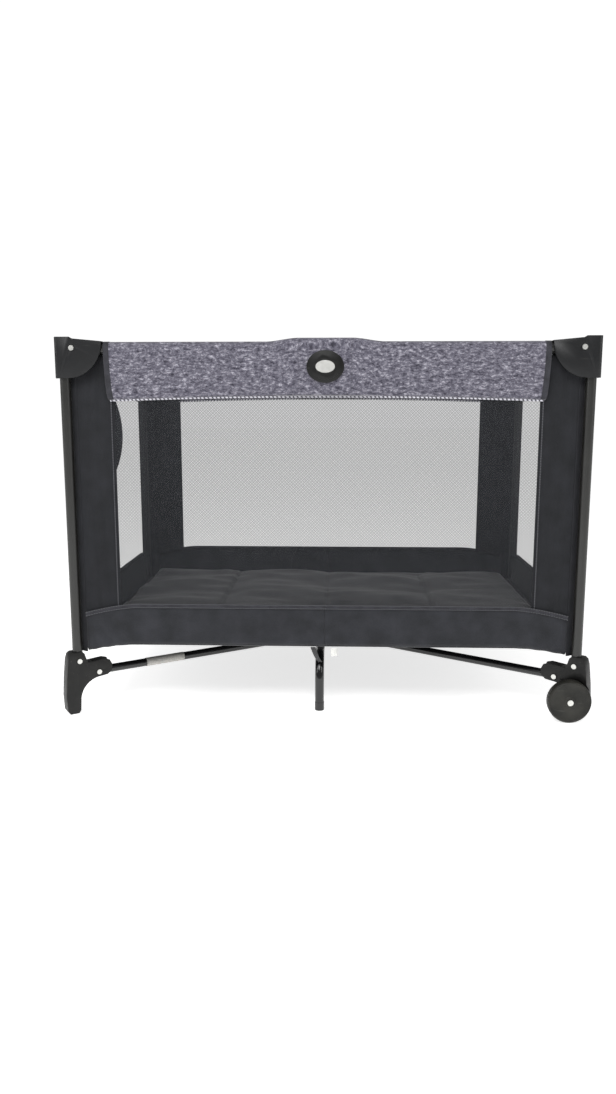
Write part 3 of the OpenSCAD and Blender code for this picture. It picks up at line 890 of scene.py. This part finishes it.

# %% [markdown]
# ## Rail covers
#
# Each rail wears a thinly padded cover of heather twill: one piece that goes up the outside, over the tube
# and down the inside, and is closed along its hem with a stitched cord. Its ends are cut on a slant and bound
# in dark tape. It swells over the latch in the middle, and hangs a little higher there. One rule gives the
# section at any place along the rail. It is cut in three: two lengths ride on their half rails, and the
# middle stays with the latch. Cut from one rule, the three meet with no step.
#
# Beside the front latch the cover is creased where it is pulled tight. Each crease is a line from an upper
# end to a lower end, written as the place along the rail and the height of both.

# %% The section of a rail cover
BINDING = 0.009
LOOP = 2 * (RAIL_Z - HEM_Z) + 0.03
COVER_HALF, COVER_OVER_RAIL, HEM_RISE = 0.0118, 0.0115, 0.0075
SWELL_END, SWELL_RAMP = 0.110, 0.0625
CREASE_DEPTH = 0.0017
CREASES = [(-0.0385, 0.649, -0.060, 0.610), (-0.050, 0.640, -0.067, 0.608),
           (-0.005, 0.637, -0.010, 0.612), (0.152, 0.638, 0.140, 0.612)]


def swelling(along):
    """1 over the latch and 0 from where the cover is plain again."""
    return smooth((SWELL_END - np.abs(along)) / SWELL_RAMP)


def cover_size(side, along):
    """Half thickness, top and hem of a rail cover."""
    swell = swelling(along)
    hem = HEM_Z + HEM_RISE * (1 - (along / COVER_REACH[side]) ** 2)
    return COVER_HALF + 0.0050 * swell, RAIL_Z + COVER_OVER_RAIL + 0.006 * swell, hem


def crease(along, up):
    """A few sharp dents that run from the latch down to the hem."""
    depth = np.zeros_like(along)
    for a0, z0, a1, z1 in CREASES:
        run = math.hypot(a1 - a0, z1 - z0)
        da, dz = (a1 - a0) / run, (z1 - z0) / run
        t = (along - a0) * da + (up - z0) * dz
        across = (along - a0) * dz - (up - z0) * da
        ends = smooth(t / 0.012) * smooth((run + 0.012 - t) / 0.012)
        depth += ends * (np.exp(-(across / 0.0016) ** 2) - 0.45 * np.exp(-((across - 0.004) / 0.003) ** 2))
    return depth


def cover_point(side, along, t, proud=0.0):
    """Out and up at t, from the outer hem (0) over the rail to the inner hem (1)."""
    half, top, hem = cover_size(side, along)
    squareness = 2 / (2 + 3.5 * swelling(along))
    drop = top - half - hem
    share = drop / (2 * drop + np.pi * half)
    u = np.clip(np.minimum(t, 1 - t) / share, 0, 1)
    turn = np.clip((t - share) / (1 - 2 * share), 0, 1) * np.pi
    round_top = (t > share) & (t < 1 - share)
    fullness = 0.14 + 0.86 * np.sin(np.pi / 2 * u) ** (0.33 * squareness ** 0.6)
    facing = np.where(t < 0.5, 1.0, -1.0)
    over, rise = np.cos(turn), np.sin(turn)
    out = np.where(round_top, half * np.sign(over) * np.abs(over) ** squareness, half * fullness * facing)
    up = np.where(round_top, top - half + half * np.maximum(rise, 0) ** squareness, hem + drop * u)
    seed = 2.0 + 1.3 * SIDES.index(side)
    loose = np.sin(np.pi * np.clip(u, 0, 1)) * facing
    waves = 0.0008 * ripple(along, up * 1.6, seed, 0.085) + 0.0005 * ripple(along, up, seed + 5, 0.03)
    out = out + loose * waves - CREASE_DEPTH * crease(along, up) * np.where(t < 0.5, 1.0, 0.0)
    return out + proud * facing, up + proud * round_top


def cover_end(side, t):
    """The slanted end: 14 mm short of the cover's reach at the hem, and 8 mm at the top."""
    height = np.sin(np.pi * np.clip(t, 0, 1)) ** 0.5
    return COVER_REACH[side] - 0.014 + 0.006 * height


def cover_piece(name, side, end, first, last, body, material, proud=0.0, across=150, thick=1.2 * MM):
    """first and last are distances, or rules of t, from the middle of the side."""
    sign = way(end)

    def place(s, t):
        near = first(t) if callable(first) else first
        far = last(t) if callable(last) else last
        along = sign * (near + (far - near) * (s if sign > 0 else 1 - s))
        out, up = cover_point(side, along, t, proud)
        return on_side(side, along, out, up, POST_X, POST_Y), np.stack([along, LOOP * t], axis=1)

    piece = sewn(name, across, 72, place, material, facing_in(side), thick=thick)
    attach(piece, body)
    return piece


def flatten(piece):
    """Gives the cover piece a mesh of its own."""
    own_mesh(piece)
    return piece


# %% Covers, bindings and hems
HEM_THICK, HEM_WIDE = 0.0064, 0.0038


def hem_level(side):
    """The height of the hem's cord along a side."""
    return lambda along: cover_size(side, along)[2] - 0.0006


for side, end in HALVES:
    rail_body = body_of(f"rail_{side}_{end}")
    half_cover = cover_piece(f"rail_cover_{side}_{end}", side, end, LATCH_HALF,
                             lambda t, side=side: cover_end(side, t), rail_body, heather)
    binding = cover_piece(f"cover_binding_{side}_{end}", side, end,
                          lambda t, side=side: cover_end(side, t) - 0.001,
                          lambda t, side=side: cover_end(side, t) + BINDING,
                          rail_body, tape_cloth, proud=0.0006, across=6, thick=2.2 * MM)
    hem = trim(f"hem_cord_{side}_{end}", side,
               half_line(side, end, LATCH_HALF, COVER_REACH[side] - 0.007, 0.0, hem_level(side)),
               HEM_WIDE, HEM_THICK, hem_cord, 120, plane_x=POST_X, plane_y=POST_Y)
    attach(hem, rail_body)
    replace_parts(half_cover, f"sleeve_{side}_{end}")
    for piece in (half_cover, binding, hem):
        flatten(piece)

for side in SIDES:
    latch_body = body_of("latch_" + side)
    end = "right" if side in ("front", "back") else "back"
    middle_cover = cover_piece("latch_cover_" + side, side, end, -LATCH_HALF, LATCH_HALF, latch_body, heather,
                               across=64)
    hem = trim(f"hem_cord_{side}_middle", side,
               half_line(side, end, -LATCH_HALF, LATCH_HALF, 0.0, hem_level(side)),
               HEM_WIDE, HEM_THICK, hem_cord, 40, plane_x=POST_X, plane_y=POST_Y)
    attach(hem, latch_body)

# %% [markdown]
# ## The floor
#
# Under the pad lies the floor, a plain sheet of the black cloth, sewn to the bottom of the walls. It
# crumples between the posts when the yard folds. A piece can only flatten one way. The floor is cut in
# five: four pieces ride with their corners, and the strip over the hub rises with it.

# %% Floor
FLOOR_STRIP = 0.10
FLOOR_GAP = 0.002


def floor_piece(name, x0, x1, y0, y1, body):
    def place(s, t):
        x, y = x0 + (x1 - x0) * s, y0 + (y1 - y0) * t
        sag = 0.002 * ripple(x, y, 4.0, 0.28) - 0.001
        inside = smooth((HALF_X - np.abs(x)) / 0.03) * smooth((HALF_Y - np.abs(y)) / 0.03)
        return np.stack([x, y, FLOOR_Z + sag * inside], axis=1), np.stack([x, y], axis=1)

    piece = sewn(name, 40, 24, place, wall_cloth, thick=1.0 * MM)
    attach(piece, body)
    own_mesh(piece)
    return piece


for corner in CORNERS:
    sx, sy = corner_signs(corner)
    outer_x, outer_y = sx * (WALL_X - FLOOR_GAP), sy * (WALL_Y - FLOOR_GAP)
    x0, x1 = sorted([0.0, outer_x])
    y0, y1 = sorted([sy * FLOOR_STRIP, outer_y])
    quarter = floor_piece("floor_cloth_" + corner, x0, x1, y0, y1, body_of("post_" + corner))
    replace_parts(quarter, "floor_" + corner)
floor_piece("floor_cloth_middle", FLOOR_GAP - WALL_X, WALL_X - FLOOR_GAP, -FLOOR_STRIP, FLOOR_STRIP,
            body_of("hub_body"))

# %% [markdown]
# ## The quilted pad
#
# The pad is four hinged boards with a little foam, in one grey cover that is stitched through between the
# boards. Its own cloth simulation puffs it up: a slab slightly smaller than the pad is remeshed evenly, its
# seam lines are pinned low, and a light pressure inside fills the rest, held to a few millimetres. Use has
# left the boards uneven, so long slow waves are added after, which a cover shows as pale and dark bands.

# %% The pad's slab and its seams
BOARDS = 4
PUFF = 0.005
SEAM_DENT = 0.0036
SEAM_PULL = 0.0028
pad_centre, pad_size = (PAD_LOW + PAD_HIGH) / 2, PAD_HIGH - PAD_LOW


def seam_distance(x):
    """How far in metres a point lies from the nearest seam between two boards, or 1 past the last seams."""
    board = pad_size.x / BOARDS
    from_left = x - PAD_LOW.x
    distance = np.abs(((from_left + board / 2) % board) - board / 2)
    return np.where((from_left < board / 2) | (from_left > pad_size.x - board / 2), 1.0, distance)


def points_of(mesh):
    flat = np.zeros(len(mesh.vertices) * 3)
    mesh.vertices.foreach_get("co", flat)
    return flat.reshape(-1, 3)


def pad_slab():
    """A slab a little smaller than the pad, with a round rim and an even mesh."""
    bpy.ops.mesh.primitive_cube_add(size=1, location=pad_centre)
    slab = bpy.context.object
    slab.name = "quilted_pad"
    slab.scale = [length - 2 * PUFF for length in pad_size]
    bpy.ops.object.transform_apply(location=True, rotation=True, scale=True)
    round_rim = slab.modifiers.new("round rim", "BEVEL")
    round_rim.width, round_rim.segments = 0.0055, 3
    bpy.ops.object.modifier_apply(modifier=round_rim.name)
    remesh = slab.modifiers.new("even mesh", "REMESH")
    remesh.mode, remesh.voxel_size = "VOXEL", 0.008
    bpy.ops.object.modifier_apply(modifier=remesh.name)
    return slab


# %% Puff it up with a cloth simulation
def puffed(pad):
    """Sinks the seams, then lets a light pressure fill the cover. Gives the new places of its points."""
    start = points_of(pad.data)
    near = seam_distance(start[:, 0])
    start[:, 2] -= np.sign(start[:, 2] - pad_centre.z) * SEAM_DENT * np.exp(-(near / 0.006) ** 2)
    pad.data.vertices.foreach_set("co", start.ravel())
    pad.data.update()
    stitched = pad.vertex_groups.new(name="stitched")
    stitched.add([int(i) for i in np.nonzero(near < 0.005)[0]], 1.0, "REPLACE")
    cloth = pad.modifiers.new("puff", "CLOTH")
    cloth.settings.use_pressure = True
    cloth.settings.uniform_pressure_force = 4
    cloth.settings.effector_weights.gravity = 0
    cloth.settings.vertex_group_mass = stitched.name
    cloth.settings.pin_stiffness = 1
    for step in range(1, 21):
        bpy.context.scene.frame_set(step)
    posed = pad.evaluated_get(bpy.context.evaluated_depsgraph_get())
    moved = points_of(posed.data) - start
    reach = np.linalg.norm(moved, axis=1, keepdims=True)
    pad.modifiers.remove(cloth)
    bpy.context.scene.frame_set(1)
    print("the pad's cover moved by up to", round(float(reach.max()) * 1000, 1), "mm before the cap")
    return start + moved * np.minimum(1, PUFF / np.maximum(reach, 1e-9))


# %% Long waves, one more subdivision, and the stitched seams
def quilted_pad():
    pad = pad_slab()
    points = puffed(pad)
    x, y = points[:, 0], points[:, 1]
    waves = 0.0062 * np.sin((y + 0.05 * np.sin(x * 9)) * 30 + 0.8) * np.sin(x * 5.1 + 1.1)
    waves += 0.0034 * ripple(x, y * 1.8, 6.0, 0.17)
    points[:, 2] += smooth((points[:, 2] - pad_centre.z) / 0.004) * waves
    pad.data.vertices.foreach_set("co", points.ravel())
    finer = pad.modifiers.new("smooth cover", "SUBSURF")
    finer.levels = finer.render_levels = 1
    bpy.ops.object.modifier_apply(modifier=finer.name)

    points = points_of(pad.data)
    on_top = smooth((points[:, 2] - pad_centre.z) / 0.004)
    points[:, 2] -= SEAM_PULL * np.exp(-(seam_distance(points[:, 0]) / 0.0028) ** 2) * on_top
    pad.data.vertices.foreach_set("co", points.ravel())
    if not pad.data.uv_layers:
        pad.data.uv_layers.new(name="cloth")
    loops = np.zeros(len(pad.data.loops), int)
    pad.data.loops.foreach_get("vertex_index", loops)
    flat_map = np.stack([points[:, 0] + points[:, 2], points[:, 1] + points[:, 2]], axis=1)
    pad.data.uv_layers.active.data.foreach_set("uv", flat_map[loops].ravel())
    pad.data.materials.append(pad_cloth)
    bpy.ops.object.shade_smooth()
    pad.select_set(False)
    return pad


pad = quilted_pad()
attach(pad, body_of("mattress_pad"))
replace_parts(pad, "mattress_pad")
print("pad:", len(pad.data.polygons), "faces")

# %% [markdown]
# ## Small sewn and stuck things
#
# A blank paper label is wrapped round one base tube, a blank satin tag is sewn into the front hem, and a
# strip of webbing ties that hem down to the front leg. The strap with which the hub is pulled up to fold
# the yard is webbing too. A spare fold of the panel's cloth shows behind the net at one corner.

# %% Paper, satin and webbing
def paper_label():
    material, shader = finish("printed_paper_label", Roughness=0.55)
    place = add_node(material, "ShaderNodeTexCoord").outputs["UV"]
    fibres = add_node(material, "ShaderNodeTexNoise", {"Scale": per_mm(3.2), "Detail": 6, "Roughness": 0.75},
                      {"Vector": place})
    tint = ramp(material, fibres.outputs["Fac"], [(0.3, "#8b8985"), (0.5, "#b5b3ae"), (0.7, "#c9c7c2")])
    material.node_tree.links.new(tint, shader.inputs["Base Color"])
    bumped(material, shader, fibres.outputs["Fac"], 0.3, 0.1 * MM)
    return material


def webbing():
    material, shader = finish("nylon_webbing_black", Roughness=0.6, Sheen_Weight=0.2)
    place = add_node(material, "ShaderNodeTexCoord").outputs["Object"]
    ribs = add_node(material, "ShaderNodeTexWave",
                    {"bands_direction": "DIAGONAL", "Scale": 2 * math.pi / 10 * per_mm(2.2),
                     "Distortion": 0.6}, {"Vector": place})
    tint = ramp(material, ribs.outputs["Fac"], [(0.2, "#151517"), (0.8, "#2a2a2d")])
    material.node_tree.links.new(tint, shader.inputs["Base Color"])
    bumped(material, shader, ribs.outputs["Fac"], 0.7, 0.4 * MM)
    return material


satin = woven("woven_satin_white", "#cfcfcc", "#f0f0ec", 0.8, 0.3, mottle_mm=20, roughness=0.45)
label_paper = paper_label()
strap_webbing = webbing()
paint("hub_strap", strap_webbing)

# %% Label round the base tube
tube_from = np.array(joints["base_to_foot_front_left"]["pos_m"])
tube_to = np.array(joints["hub_to_base_front_left"]["pos_m"])
tube_way = (tube_to - tube_from) / np.linalg.norm(tube_to - tube_from)
tube_side = np.cross(tube_way, [0, 0, 1])
LABEL_FROM, LABEL_TO, LABEL_RADIUS = 0.101, 0.183, 0.0082
LABEL_OVERLAP = 0.0004


def label_place(s, t):
    run = LABEL_FROM + (LABEL_TO - LABEL_FROM) * s
    turn = -t * 2.1 * np.pi
    radius = LABEL_RADIUS + LABEL_OVERLAP * t
    spot = (tube_from + run[:, None] * tube_way + (radius * np.cos(turn))[:, None] * tube_side
            + np.outer(radius * np.sin(turn), [0, 0, 1]))
    return spot, np.stack([run, turn * LABEL_RADIUS], axis=1)


label = sewn("paper_label", 24, 48, label_place, label_paper, thick=0.25 * MM)
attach(label, body_of("base_tube_front_left"))

# %% Tag and leg strap on the front hem
TAG_WIDE, TAG_HIGH = 0.0125, 0.0150


def tag_place(s, t):
    along = TAG_WIDE + TAG_WIDE * s
    up = BAND_LOW - 0.0005 - TAG_HIGH * (1 - t)
    out = 0.0016 + 0.0022 * (1 - t) ** 2 + 0.0008 * np.sin(np.pi * s)
    return on_side("front", along, out, up), np.stack([along, up], axis=1)


tag = sewn("blank_tag", 12, 14, tag_place, satin, thick=0.3 * MM)
gather(tag, "front", "right")


def strap_place(s, t):
    x = -0.022 + 0.014 * t + 0.010 * (s - 0.5) * (1 - 0.35 * t)
    y = -WALL_Y + 0.034 * t ** 1.3
    up = BAND_LOW + 0.001 - 0.040 * t - 0.004 * np.sin(np.pi * t)
    return np.stack([x, y, up], axis=1), np.stack([x, up], axis=1)


leg_strap = sewn("leg_strap", 6, 24, strap_place, strap_webbing, thick=1.0 * MM)
gather(leg_strap, "front", "left")

# %% Spare fold behind the net
FOLD_LOW, FOLD_HIGH, FOLD_WIDE = 0.470, 0.140, 0.017


def fold_place(s, t):
    up = FOLD_LOW + FOLD_HIGH * t
    width = FOLD_WIDE * np.sin(np.pi * np.clip(t, 0, 1)) ** 0.7
    along = -WINDOW_HALF["front"] - 0.004 + width * s
    return (on_side("front", along, slack("front", along, up) - 0.0016 - 0.0022 * np.sin(np.pi * s), up),
            np.stack([along, up], axis=1))


spare_fold = sewn("spare_fold", 10, 40, fold_place, wall_cloth, thick=0.6 * MM)
gather(spare_fold, "front", "left")

# %% [markdown]
# ## Sizes and the end
#
# The dressed yard should be as big as the bare one, but for a little cloth that stands proud, so both
# boxes are measured, and the last line prints how much bigger the dressed one is on each side.

# %% Sizes and the end
visual_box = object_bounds()
growth = [abs(dressed) - abs(bare) for dressed, bare in zip((*visual_box[0], *visual_box[1]),
                                                            (*cad_box[0], *cad_box[1]))]
print("the dressed yard is bigger by", [round(1000 * side, 1) for side in growth], "mm")
